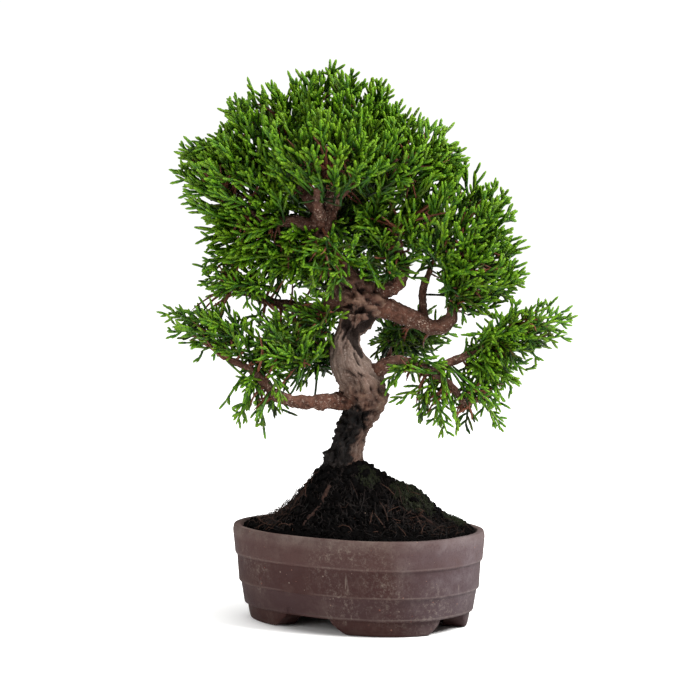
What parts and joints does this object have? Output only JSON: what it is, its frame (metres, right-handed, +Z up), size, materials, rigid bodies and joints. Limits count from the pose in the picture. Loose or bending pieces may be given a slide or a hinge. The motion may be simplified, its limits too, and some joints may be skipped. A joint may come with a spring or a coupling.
{
  "type": "bonsai tree in a pot",
  "caption": "Juniper bonsai with an S-curved trunk, boughs and clipped foliage pads, growing from mounded soil in an oval unglazed stoneware pot with stepped sides and corner feet.",
  "frame": {"origin": "on the surface that the pot's feet stand on, under the middle of the whole plant's bounding box", "axes": "+Z up; +X along the pot's length; +Y across the pot, away from its front. The tree's best side is seen by looking along the direction 37 degrees counter-clockwise from +Y."},
  "size_m": [0.1933, 0.1572, 0.3147],
  "materials": {
    "stoneware": "unglazed brown-mauve stoneware with pale dust and fine speckles",
    "net_plastic": "black drainage net",
    "soil": "near-black crumbly peat and bark soil",
    "moss": "dark olive moss",
    "root": "reddish-brown fibrous root",
    "bark": "flaking grey-brown juniper bark",
    "foliage": "bright green scale-leaf juniper shoots"
  },
  "bodies": {
    "root": {"pot": "stoneware", "drain_net_left": "net_plastic", "drain_net_right": "net_plastic", "soil": "soil", "moss_at_trunk": "moss", "moss_on_slope": "moss", "moss_at_right_rim": "moss", "moss_behind": "moss", "surface_root_left": "root", "surface_root_front": "root", "surface_root_right": "root", "trunk": "bark", "bough_crown_back": "bark", "bough_crown_front": "bark", "bough_crown_left": "bark", "bough_crown_right": "bark", "bough_crown_top": "bark", "bough_low_back_left": "bark", "bough_low_back_right": "bark", "bough_low_left": "bark", "bough_low_right": "bark", "bough_low_right_fork": "bark", "bough_mid_back": "bark", "bough_mid_left": "bark", "bough_mid_right": "bark", "bough_mid_right_fork": "bark", "bough_upper_right": "bark", "pad_back_low_left": "foliage", "pad_back_low_right": "foliage", "pad_back_mid": "foliage", "pad_crown_back": "foliage", "pad_crown_front": "foliage", "pad_crown_left": "foliage", "pad_crown_left_low": "foliage", "pad_crown_left_top": "foliage", "pad_crown_right": "foliage", "pad_crown_top": "foliage", "pad_inner_left": "foliage", "pad_low_left": "foliage", "pad_low_left_hanging": "foliage", "pad_low_left_tip": "foliage", "pad_low_right": "foliage", "pad_low_right_hanging": "foliage", "pad_low_right_tip": "foliage", "pad_mid_left": "foliage", "pad_right_inner": "foliage", "pad_right_outer": "foliage", "pad_right_upper": "foliage"}
  },
  "joints": []
}
